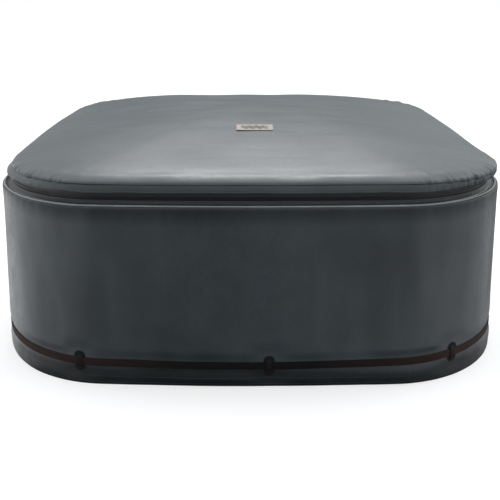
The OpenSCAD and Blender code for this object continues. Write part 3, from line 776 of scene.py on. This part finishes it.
piece = teeth("zip_teeth_lower", ZIP_Z - HALF_GAP - TOOTH_H, ZIP_Z - 0.0002, 0.0, 1)
fit(piece, "skirt", ["zip_lower_teeth"])
piece = teeth("zip_teeth_upper", ZIP_Z + 0.0002, ZIP_Z + HALF_GAP + TOOTH_H, 0.5, -1)
fit(piece, "lid", ["zip_upper_teeth"])

GUARD_OFF = ZIP_OFF - 0.005
guard_line = rounded_line([(GUARD_OFF + 0.0002, RIM_Z + 0.002), (GUARD_OFF + 0.0006, 0.742),
                           (GUARD_OFF, ZIP_Z + 0.010)], 0.004, 4)
piece = ring("zip_guard_pad", guard_line, 0.0026, m_trim, True, 0, ROUND, 0.03, 0.014)
fit(piece, "skirt", ["zip_guard"])


# Weather flap over the zip: its lower edge waves.
def flap_shift(s, off, z):
    drop = 1 - 0.75 * smooth(z, 0.777, 0.803)
    x = s / 0.030 + 1.3 * pleat_a(s) + 0.4 * pleat_b(s)
    deep = 0.0050 + 0.0060 * near(s, HALF_SIDE + CORNER_RUN * 0.62, 0.24)
    fold = np.abs(np.sin(math.pi * x)) ** 0.7 * corner_middle(s, 0.28) * deep
    wave = 0.0024 * loose(s) + 0.0010 * upright(s) + 0.4 * fold
    out = 0.0012 * (1 + upright(s + 0.4)) + 0.0010 * (1 + wide(s)) + fold
    return off + drop * out + lid_shift(s, z), z + drop * np.clip(wave, -0.003, 0.005)


flap_line = rows([(-0.0215, 0.7768), (-0.0230, 0.788), (-0.0258, 0.798), (-0.0298, 0.8040)], 0.003)
piece = ring("weather_flap_cloth", flap_line, SKIN, m_flap, *ZIP_RUN, 0.014, 0.008, None, flap_shift)
fit(piece, "lid", ["weather_flap"])

# ---- Lid
LID_FOOT, ROLL_W, ROLL_H, SEAM_Z, CROWN, POWER = -0.029, 0.060, 0.019, 0.806, 0.110, 2.2
ROLL_END = math.radians(52)
ROLL_Z = SEAM_Z + 0.001
DOME_FOOT_Z = ROLL_Z + ROLL_H * math.sin(ROLL_END)
FRONT_ROLL = 0.057


def pleats(s, v):
    """Gathers of the lid's cloth above its seam: deep round the corners, slight along the sides."""
    turn = corner_middle(s, 0.26)
    x = s / 0.036 + 1.1 * pleat_a(s) + 0.35 * pleat_b(s) + 2.0 * v * pleat_b(s, 1.0)
    puff = np.abs(np.sin(math.pi * x)) ** 0.5
    small_puff = np.abs(np.sin(math.pi * (x * 1.9 + 0.3))) ** 0.7
    reach = 0.018 + 0.050 * smooth(pleat_len(s), -0.5, 1.3)
    fall = np.exp(-(v / reach) ** 1.4) * (0.45 + 0.55 * smooth(v, 0.0, 0.012))
    size = turn * (0.0052 + 0.0070 * smooth(pleat_b(s, 2.0), -0.8, 1.2))
    size = size * (1 + 0.5 * near(s, HALF_SIDE + CORNER_RUN * 0.6, 0.3)) + 0.0005
    fading = turn * 0.0013 * (1 + pleat_b(s, 3.0)) * np.exp(-(v / 0.11) ** 2) * smooth(v, 0.01, 0.05)
    return size * (0.70 * puff + 0.30 * small_puff) * fall + fading


def lid_line(low, fine=True, front=False):
    """Profile of the lid, (distance out, height, scale); front gives the fuller roll of the front edge."""
    u = np.linspace(0, 1, 15 if fine else 7)
    level = np.ones(len(u))
    if front:
        slope = np.radians(15 + 9 * (1 - u) + 30 * (1 - u) ** 5)
        step = np.diff(u) * FRONT_ROLL
        mid = (slope[1:] + slope[:-1]) / 2
        roll = np.stack([LID_FOOT - np.append(0, np.cumsum(step * np.cos(mid))),
                         ROLL_Z + np.append(0, np.cumsum(step * np.sin(mid))), level], -1)
    else:
        a = u ** 1.2 * ROLL_END
        roll = np.stack([LID_FOOT - ROLL_W + ROLL_W * np.cos(a), ROLL_Z + ROLL_H * np.sin(a), level], -1)
    ks = np.append(np.linspace(0.995, 0.86, 17 if fine else 6), np.linspace(0.84, 0.03, 29 if fine else 16))
    dome = DOME_FOOT_Z + CROWN * (1 - ks ** POWER)
    over = (roll[-1, 1] - DOME_FOOT_Z) * np.exp(-((1 - ks) / 0.13) ** 2)
    crown = np.stack([np.full(len(ks), roll[-1, 0]), dome + over, ks], -1)
    tuck = np.array([[LID_FOOT, low, 1.0]])
    if fine:
        tuck = np.array([[LID_FOOT - 0.0045, low, 1.0], [LID_FOOT - 0.0022, low + 0.0002, 1.0],
                         [LID_FOOT - 0.0005, low + 0.0014, 1.0]])
    return np.concatenate([tuck, roll, crown])


def lid_layer(name, depth, thick, material, low, side_step, corner_step, skin=False):
    """One layer of the lid, depth inside its pattern. The skin has the gathers and the slack."""
    s = stations(side_step, corner_step)[:-1]
    line, fuller = lid_line(low, skin), lid_line(low, skin, True)
    S = np.broadcast_to(s[:, None], (len(s), len(line)))
    in_front = 1 - smooth(away(S, 0.0), HALF_SIDE + 0.10, HALF_SIDE + CORNER_RUN * 0.75)
    K = np.broadcast_to(line[None, :, 2], S.shape)
    Z = line[None, :, 1] + in_front * (fuller - line)[None, :, 1]
    OFF = line[None, :, 0] + in_front * (fuller - line)[None, :, 0] + lid_shift(S, Z)
    if skin:
        Z = Z - (0.0016 + 0.0012 * loose(S + 0.3)) * (1 - smooth(Z, 0.806, 0.830))
    p = place(S, OFF, Z, K)
    v = along(p)
    n = flow(p, True)
    px, py = p[..., 0], p[..., 1]
    sway = (0.0022 * np.cos(2.1 * px + 0.7) * np.cos(1.7 * py - 0.4)
            + 0.0011 * np.cos(7.3 * px + 4.1 * py + 1.0) + 0.0011 * np.cos(11.0 * py - 3.0 * px + 2.0)
            + 0.0007 * np.cos(17.0 * px - 9.0 * py + 0.3) + 0.0006 * np.cos(8.0 * px + 19.0 * py))
    lift = sway * (1 - K ** 6) - depth
    if skin:
        soft = 0.0009 * (1 + wide(S, v)) * smooth(v, 0.05, 0.2) + 0.0010
        rumple = 0.0014 * (1 + loose(1.6 * S + 4.0)) * hump(v, 0.050, 0.022) * in_front
        lift = lift + pleats(S, v) * smooth(K, 0.55, 0.8) + soft * smooth(K, 0.05, 0.4) + rumple
    outer = p + n * lift[..., None]
    inner = p + n * (lift - thick)[..., None]
    flat = plan(heading(S), 0.02) * K[..., None]
    far = np.linalg.norm(flat, axis=-1, keepdims=True)
    uv = flat / np.maximum(far, 1e-9) * (v[:, -1:] - v)[..., None]
    return solid(name, outer, inner, True, uv, material, None, True, None)


piece = lid_layer("lid_cloth", 0.0, SKIN, m_lid, SEAM_Z - 0.002, 0.018, 0.0062, True)
fit(piece, "lid", ["lid_panel"])
piece = lid_layer("lid_foam_pad", FOAM_IN, FOAM, m_foam, SEAM_Z + 0.0005, 0.06, 0.03)
fit(piece, "lid", ["lid_foam", "lid_edge_foam"])
piece = lid_layer("lid_lining", LINER_IN, LINER, m_foil, SEAM_Z + 0.0005, 0.05, 0.025)
fit(piece, "lid", ["lid_liner"])


# Cloth hinge along the rear: it runs from the skirt's neck up to the lid's band.
def hinge_lift(s, z):
    return 0.0007 * (1 + short(s, z))


hinge_line = rounded_line([NECK_FOOT, (-0.0365, RIM_Z + 0.0062), (-0.0418, ZIP_Z - 0.010), (-0.0412, 0.756),
                           (-0.0400, 0.768), (-0.0385, 0.784), (-0.0345, 0.796)], 0.003, 4)
piece = ring("rear_hinge_cloth", hinge_line, SKIN, m_band, False, ZIP_END + 0.002, ROUND - ZIP_END - 0.002,
             0.014, 0.010, hinge_lift)
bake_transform(piece)
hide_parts("hinge_strip")

# ---- Belt
s = stations(0.02, 0.012, (), BUCKLE_S + 0.020 - ROUND, BUCKLE_S - 0.015)
S, A = np.meshgrid(s, np.linspace(-1, 1, 7), indexing="ij")
calm = np.ones(S.shape)
for held_at in LOOPS + [BUCKLE_S]:
    calm = np.minimum(calm, smooth(away(S, held_at), 0.03, 0.14))
Z = BELT_Z + A * (BELT_W / 2) * 0.98 + belt_dip(S) + 0.0016 * loose(S + 0.9) * calm
p = place(S, wall_off(Z) + BELT_GAP + 0.0002 * (1 - A ** 2), Z)
thick = BELT_T * (1 - 0.35 * np.abs(A) ** 6)
uv = np.stack([S, (A + 1) * BELT_W / 2], -1)
piece = solid("belt_strap", p + flow(p, False) * thick[..., None], p, False, uv, m_web)
fit(piece, "skirt", ["belt_webbing"])


def wall(s, z, d):
    """A point d outside the wall's pattern."""
    return place(s, wall_off(z) + d, z)


# Patch: width, height and thickness. Strap over the belt: half width, thickness and how far it bulges.
PATCH_W, PATCH_H, PATCH_T, PATCH_STEPS = 0.045, 0.085, 0.0006, 72
STRAP_W, STRAP_T, STRAP_BULGE = 0.0095, 0.0013, 0.0003
PATCH_RINGS = [(1.0, 0.0), (1.0, 0.6), (0.97, 0.95), (0.90, 1.0), (0.45, 1.0), (0.02, 1.0)]


def over_belt(end, flat, count):
    """Heights of a strap's points, closer together where it climbs over the belt's edges."""
    return np.concatenate([np.linspace(-end, -0.020, count), np.linspace(-flat, flat, 9),
                           np.linspace(0.020, end, count)])


def closed_stack(levels, per, flip=False):
    """Faces of a stack of closed rings of per points, with both ends closed."""
    faces = []
    for level in range(levels - 1):
        for i in range(per):
            a, b = level * per + i, level * per + (i + 1) % per
            if flip:
                a, b = b, a
            faces.append([a, b, b + per, a + per])
    top, bottom = [(levels - 1) * per + i for i in range(per)], list(range(per))
    return faces + ([top[::-1], bottom] if flip else [top, bottom[::-1]])


def loop_piece(number, s0):
    """One belt loop: a round-ended patch sewn to the skirt, and a strap that bridges the belt."""
    middle_z = BELT_Z + belt_dip(s0)
    a = np.linspace(0, 2 * math.pi, PATCH_STEPS, endpoint=False)
    x0 = PATCH_W / 2 * np.sin(a)
    y0 = PATCH_W / 2 * np.cos(a) + np.where(np.cos(a) >= 0, 1, -1) * (PATCH_H - PATCH_W) / 2
    points, uvs = [], []
    for k, up in PATCH_RINGS:
        x, y = x0 * k, y0 * k
        sewn = 0.00012 * np.cos(a * 30) * (k > 0.85)
        points.append(wall(s0 + x, middle_z + y, GAP + PATCH_T * up + sewn))
        uvs.append(np.stack([x, y], -1))
    faces = closed_stack(len(PATCH_RINGS), PATCH_STEPS, True)
    uv = np.concatenate(uvs)[np.array([i for face in faces for i in face])]
    patch = build("belt_loop_piece_%d" % number, np.concatenate(points), faces, uv, m_loop, 40)
    X, Y = np.meshgrid(np.linspace(-STRAP_W, STRAP_W, 5), over_belt(0.034, 0.018, 6), indexing="ij")
    rise = smooth(0.0215 - np.abs(Y), -0.0015, 0.0045)
    low = (GAP + PATCH_T + 0.0001) + rise * (BELT_GAP + BELT_T + 0.0006 - GAP - PATCH_T)
    bulge = STRAP_BULGE * (1 - (X / STRAP_W) ** 2)
    inner = wall(s0 + X, middle_z + Y, low)
    outer = wall(s0 + X, middle_z + Y, low + (STRAP_T + bulge))
    strap = solid("loop_strap_%d" % number, outer, inner, False, np.stack([X, Y], -1), m_loop)
    pair = [patch, strap]
    with bpy.context.temp_override(active_object=patch, selected_editable_objects=pair, selected_objects=pair):
        bpy.ops.object.join()
    return patch


for i, s0 in enumerate(LOOPS):
    fit(loop_piece(i + 1, s0), "skirt", ["belt_loop_%d" % (i + 1)])


# Keeper and tail: the belt's end lies on the belt, under the keeper.
def strip(name, s0, xs, ys, low, thick, material):
    """A strip across the wall at s0: xs along it, ys up it, low(x, y) the height of its underside."""
    X, Y = np.meshgrid(xs, ys, indexing="ij")
    base = wall(s0 + X, BELT_Z + Y, low(X, Y))
    top = wall(s0 + X, BELT_Z + Y, low(X, Y) + thick)
    return solid(name, top, base, False, np.stack([s0 + X, Y], -1), material)


TAIL_GAP = BELT_GAP + BELT_T + 0.0005
KEEPER_TOP = TAIL_GAP + BELT_T + 0.0018


def keeper_low(x, y):
    return GAP + smooth(0.0215 - np.abs(y), -0.0015, 0.004) * (KEEPER_TOP - GAP)


def tail_low(x, y):
    return TAIL_GAP + 0.0008 * smooth(-x, 0.155, 0.190) * (1 + np.cos(y / 0.006))


piece = strip("strap_keeper_band", BUCKLE_S - 0.150, np.linspace(-0.007, 0.007, 4),
              over_belt(0.030, 0.0185, 5), keeper_low, STRAP_T, m_loop)
fit(piece, "skirt", ["strap_keeper"])
piece = strip("belt_tail_webbing", BUCKLE_S, np.linspace(-0.190, -0.014, 23),
              np.linspace(-1, 1, 7) * 0.98 * BELT_W / 2, tail_low, BELT_T, m_web)
fit(piece, "belt_plug", ["belt_tail"])

# ---- Hose window: x runs along the wall from the window's middle
EDGE_X, EDGE_Z = WINDOW_W / 2 + 0.012, WINDOW_H / 2 + 0.012
HOOK_X, HOOK_W, HOOK_T = EDGE_X + 0.001, 0.018, 0.0012
HOOK_LOW, HOOK_HIGH = WINDOW_Z - EDGE_Z - 0.001, WINDOW_HIGH + 0.010
FLAP_GAP, FLAP_T, FLAP_X = 0.0032, 0.001, EDGE_X + 0.020
FLAP_TOP, FLAP_LOW, FLAP_OVER = WINDOW_HIGH + 0.022, WINDOW_LOW - 0.034, 0.014


def window_sheet(name, x_range, z_range, gap, thick, material, step=0.004, hole=False, lift=None):
    """A flat sheet on the wall at the window, gap above its pattern; hole leaves the window open."""
    xs, zs = [np.linspace(a, b, max(3, int((b - a) / step))) for a, b in (x_range, z_range)]
    if hole:
        xs = np.unique(np.append(xs, [-WINDOW_W / 2, WINDOW_W / 2]))
        zs = np.unique(np.append(zs, [WINDOW_LOW, WINDOW_HIGH]))
    X, Z = np.meshgrid(xs, zs, indexing="ij")
    up = gap if lift is None else gap + lift(X, Z)
    outer, inner = wall(WINDOW_S + X, Z, up + thick), wall(WINDOW_S + X, Z, up)
    uv = np.stack([X - x_range[0], Z - z_range[0]], -1)
    return solid(name, outer, inner, False, uv, material, outside_window(xs, zs) if hole else None)


def binding_lift(x, z):
    return 0.00025 * np.cos(x * 700) * np.cos(z * 700)


def pull_lift(x, z):
    return 0.0015 * smooth(FLAP_LOW - z, -0.004, 0.02)


def hook_tapes(name, gap, body):
    """Three strips of hook or loop tape, at both sides of the window and under it."""
    for place_name, x_range, z_range in (
            ("right", (HOOK_X, HOOK_X + HOOK_W), (HOOK_LOW, HOOK_HIGH)),
            ("left", (-HOOK_X - HOOK_W, -HOOK_X), (HOOK_LOW, HOOK_HIGH)),
            ("low", (-HOOK_X, HOOK_X), (HOOK_LOW - HOOK_W, HOOK_LOW - 0.0005))):
        tape = window_sheet(name + "_" + place_name, x_range, z_range, gap, HOOK_T, m_hook)
        fit(tape, body, [name] if place_name == "right" else [])


def flap_fall(x, z):
    """Out to the flap's own plane below its hinge, flat under the header above it."""
    down = 1 - smooth(z, FLAP_TOP - 0.012, FLAP_TOP + 0.003)
    wave = 0.0012 * (1 + np.cos(x * 21 + z * 9)) * smooth(FLAP_TOP - z, 0.02, 0.2)
    return down * (FLAP_GAP - GAP) + wave * (0.4 + 0.6 * np.abs(x) / FLAP_X)


piece = window_sheet("window_edge_binding", (-EDGE_X, EDGE_X), (WINDOW_Z - EDGE_Z, WINDOW_Z + EDGE_Z), GAP,
                     0.0008, m_trim, 0.012, True, binding_lift)
fit(piece, "skirt", ["window_binding"])
hook_tapes("window_loop_tape", GAP, "skirt")
hook_tapes("flap_hook_tape", 0.0018, "window_flap")

zs = np.append(np.linspace(FLAP_LOW, FLAP_TOP - 0.02, 26),
               np.linspace(FLAP_TOP - 0.016, FLAP_TOP + FLAP_OVER, 11))
X, Z = np.meshgrid(np.linspace(-FLAP_X, FLAP_X, 45), zs, indexing="ij")
inner = wall(WINDOW_S + X, Z, GAP + flap_fall(X, Z))
outer = wall(WINDOW_S + X, Z, GAP + FLAP_T + flap_fall(X, Z))
uv = np.stack([X + FLAP_X, Z - FLAP_LOW], -1)
piece = solid("hose_flap_cloth", outer, inner, False, uv, m_window)
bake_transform(piece)
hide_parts("hose_flap")
piece = window_sheet("flap_header_tape", (-FLAP_X, FLAP_X), (FLAP_TOP + 0.0035, FLAP_TOP + 0.016),
                     GAP + FLAP_T + 0.0001, 0.0008, m_trim)
fit(piece, "skirt", ["flap_header"])
# Its map starts at 0, so the webbing's painted front shade darkens the whole pull loop.
piece = window_sheet("flap_pull_loop", (-0.014, 0.014), (FLAP_LOW - 0.026, FLAP_LOW + 0.014),
                     FLAP_GAP + FLAP_T + 0.0016, 0.0014, m_web, lift=pull_lift)
fit(piece, "window_flap", ["flap_pull_tab"])

# ---- Badge: a soft plate with a raised rim and three plain waves, and no lettering
BADGE_AT, BADGE_W, BADGE_H, BADGE_R = np.array([0.020, -0.480]), 0.160, 0.085, 0.008
DOME_REACH = HALF_W + LID_FOOT - ROLL_W + ROLL_W * math.cos(ROLL_END)
# Distance in from the plate's edge, and height above the lid's pattern.
BADGE_RINGS = [(0.0, 0.0022), (0.0, 0.0044), (0.0012, 0.0052), (0.0040, 0.0052), (0.0052, 0.0042),
               (0.030, 0.0042)]
WAVE_REACH, WAVE_HEIGHT, WAVE_LENGTH, WAVE_W, WAVE_STEP = 0.060, 0.0052, 0.030, 0.0048, 0.016


def on_badge(xy, up):
    """Points up above the lid's pattern, near the middle of its front half."""
    xy = xy + BADGE_AT
    dome = DOME_FOOT_Z + CROWN * (1 - np.abs(xy[..., 1] / DOME_REACH) ** POWER)
    return np.concatenate([xy, (dome + up)[..., None]], -1)


def rounded_ring(w, h, r, steps=8):
    points = []
    for corner, (right, up) in enumerate(((1, 1), (-1, 1), (-1, -1), (1, -1))):
        for i in range(steps + 1):
            a = math.radians(90 * corner + 90 * i / steps)
            points.append((right * (w / 2 - r) + r * math.cos(a), up * (h / 2 - r) + r * math.sin(a)))
    return np.array(points)


points = [on_badge(rounded_ring(BADGE_W - 2 * inset, BADGE_H - 2 * inset, max(0.001, BADGE_R - inset)), up)
          for inset, up in BADGE_RINGS]
faces = closed_stack(len(points), len(points[0]))
piece = build("lid_badge_plate", np.concatenate(points), faces, None, m_badge, 35)
fit(piece, "lid", ["lid_badge"])
for i in range(3):
    x = np.linspace(-WAVE_REACH, WAVE_REACH, 61)
    y = (i - 1) * WAVE_STEP + WAVE_HEIGHT * np.sin(x * 2 * math.pi / WAVE_LENGTH)
    w = WAVE_W * (1 - 0.6 * np.abs(x / WAVE_REACH) ** 3)
    outer = np.stack([on_badge(np.stack([x, y + side * w], -1), up)
                      for side, up in ((-1, 0.0040), (-0.8, 0.0050), (0.8, 0.0050), (1, 0.0040))], 1)
    inner = outer - np.array([0, 0, 0.0012])
    piece = solid("badge_wave_%d" % (i + 1), outer, inner, False, np.zeros(outer.shape[:2] + (2,)), m_mark)
    fit(piece, "lid", [])

# ---- Hard CAD pieces that are shown as they are: their own materials
for material, nodes in ((m_metal, ("zip_slider", "zip_pull", "zip_end_stops")),
                        (m_buckle, ("buckle_socket", "buckle_plug", "buckle_arm_upper", "buckle_arm_lower"))):
    for node in nodes:
        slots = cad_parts[node].data.materials
        slots.clear()
        slots.append(material)


# ---- Floor, backdrop, light and camera
WHITE = (1, 1, 1)


def studio_white(name, glow, diffuse=None):
    """A plain white that glows, and takes light as well where diffuse is given."""
    mat, tree = new_tree(name)
    shown = add_node(tree, "Emission", {"Color": WHITE, "Strength": glow}).outputs[0]
    if diffuse is not None:
        matt = add_node(tree, "BsdfDiffuse", {"Color": (diffuse, diffuse, diffuse)}).outputs[0]
        shown = add_node(tree, "AddShader", {0: matt, 1: shown}).outputs[0]
    add_node(tree, "OutputMaterial", {"Surface": shown})
    return mat


def studio_piece(name, material):
    """Dress the piece that was just added: the camera sees it, and no light bounces off it."""
    obj = bpy.context.object
    obj.name = name
    obj.data.materials.append(material)
    obj.visible_diffuse = obj.visible_glossy = obj.visible_transmission = False
    obj.visible_volume_scatter = False
    return obj


bpy.ops.mesh.primitive_circle_add(vertices=96, radius=30, fill_type="NGON", location=(0, 0, -0.0005))
floor = studio_piece("studio_floor", studio_white("studio_floor_white", 0.50, 0.55))
bpy.ops.mesh.primitive_uv_sphere_add(segments=48, ring_count=24, radius=29)
backdrop = studio_piece("studio_backdrop", studio_white("studio_backdrop_white", 1.0))
backdrop.visible_shadow = False

scene = bpy.context.scene
scene.world = bpy.data.worlds.new("studio")
scene.world.use_nodes = True
sky = scene.world.node_tree
sky.nodes.clear()
direction = add_node(sky, "TexCoord", {}).outputs["Generated"]
right, back, up = add_node(sky, "SeparateXYZ", {0: direction}).outputs


def ramp(value, start, end, low=0.0, high=1.0):
    return remap(sky, value, start, end, low, high)


def join(op, first, *others):
    for value in others:
        first = math_node(sky, op, first, value)
    return first


# Strength of the light from each direction, above the horizon and below it. Each row is one patch of light.
above = join(
    "ADD",
    join("MULTIPLY", ramp(back, -0.30, 0.50), ramp(up, 0.05, 0.60, 0.09, 1.04),
         ramp(right, -0.45, 0.55, 0.90, 1.22)),
    join("MULTIPLY", ramp(back, 0.55, 0.25), ramp(back, -0.16, 0.02), ramp(up, 0.50, 0.85, 0.0, 1.6)),
    join("MULTIPLY", ramp(back, -0.20, -0.80), ramp(up, 0.20, 0.80, 0.15, 1.25)),
    join("MULTIPLY", ramp(right, -0.25, -0.90), 1.35),
    join("MULTIPLY", ramp(right, 0.15, 0.80), 1.15))
below = join(
    "ADD",
    join("MULTIPLY", ramp(back, -0.20, 0.60), ramp(right, -0.30, 0.35, 0.66, 0.14)),
    join("MULTIPLY", ramp(back, -0.20, -0.80), 0.155),
    join("MULTIPLY", ramp(right, -0.15, -0.82), 1.25),
    join("MULTIPLY", ramp(right, 0.19, 0.53), ramp(back, 0.30, 0.85, 1.0, 0.25), 0.98))
below = join("MULTIPLY", below, ramp(up, -0.58, -0.40, 0.06, 1.0))
high = ramp(up, -0.06, 0.06)
low = join("SUBTRACT", 1.0, high)
strength = join("ADD", join("MULTIPLY", above, high), join("MULTIPLY", below, low))
background = add_node(sky, "Background", {"Color": (0.97, 0.985, 1.0), "Strength": strength})
add_node(sky, "OutputWorld", {"Surface": background.outputs[0]})

LAMP_AT, LAMP_AIM = Vector((-0.05, 1.60, 3.69)), Vector((-0.05, -0.95, 0.8))
lamp = bpy.data.lights.new("overhead_softbox", "AREA")
lamp.shape = "RECTANGLE"
lamp.size, lamp.size_y = 2.6, 0.7
lamp.energy = 94
softbox = bpy.data.objects.new("overhead_softbox", lamp)
softbox.location = LAMP_AT
softbox.rotation_euler = (LAMP_AIM - LAMP_AT).to_track_quat("-Z", "Y").to_euler()
scene.collection.objects.link(softbox)

CAMERA_DOWN, SENSOR, FOCAL_SHARE = 0.3195, 36, 1.442
scene.view_settings.view_transform = "Standard"
lens = bpy.data.cameras.new("camera")
lens.lens, lens.sensor_width = SENSOR * FOCAL_SHARE, SENSOR
lens.shift_y = -0.056
lens.clip_start, lens.clip_end = 0.05, 100
camera = bpy.data.objects.new("camera", lens)
camera.location = (0, -3.593, 1.509)
camera.rotation_euler = (math.pi / 2 - CAMERA_DOWN, 0, 0)
scene.collection.objects.link(camera)
scene.camera = camera
